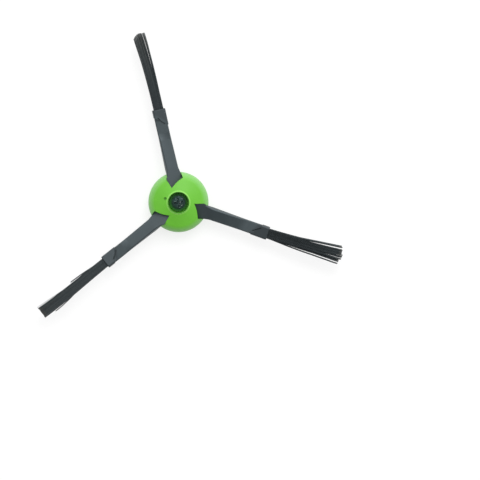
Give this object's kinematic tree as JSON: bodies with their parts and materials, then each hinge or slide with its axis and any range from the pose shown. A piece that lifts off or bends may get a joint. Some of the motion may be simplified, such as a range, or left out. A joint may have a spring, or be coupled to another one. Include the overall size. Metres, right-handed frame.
{
  "type": "robot vacuum side brush",
  "caption": "Side brush for a floor-cleaning robot: domed hub with a captive screw, twisted rubber arms and fanned bristle tufts at their ends.",
  "frame": {"origin": "on the drive axis, at the mouth of the drive socket in the plane of the hub's base", "axes": "+Z along the drive axis towards the domed face, +Y along the first arm"},
  "size_m": [0.1579, 0.1323, 0.0133],
  "materials": {
    "hub_plastic": "satin",
    "arm_rubber": "matte",
    "bristle": "satin",
    "screw_steel": "blackened"
  },
  "bodies": {
    "brush": {"hub": "hub_plastic", "arm_1": "arm_rubber", "arm_2": "arm_rubber", "arm_3": "arm_rubber", "tuft_1": "bristle", "tuft_2": "bristle", "tuft_3": "bristle"},
    "screw": {"screw": "screw_steel"}
  },
  "joints": [
    {"name": "screw_turn", "type": "hinge", "parent": "brush", "child": "screw", "pos_m": [0, 0, 0.0074], "axis": [0, 0, 1], "continuous": true}
  ]
}
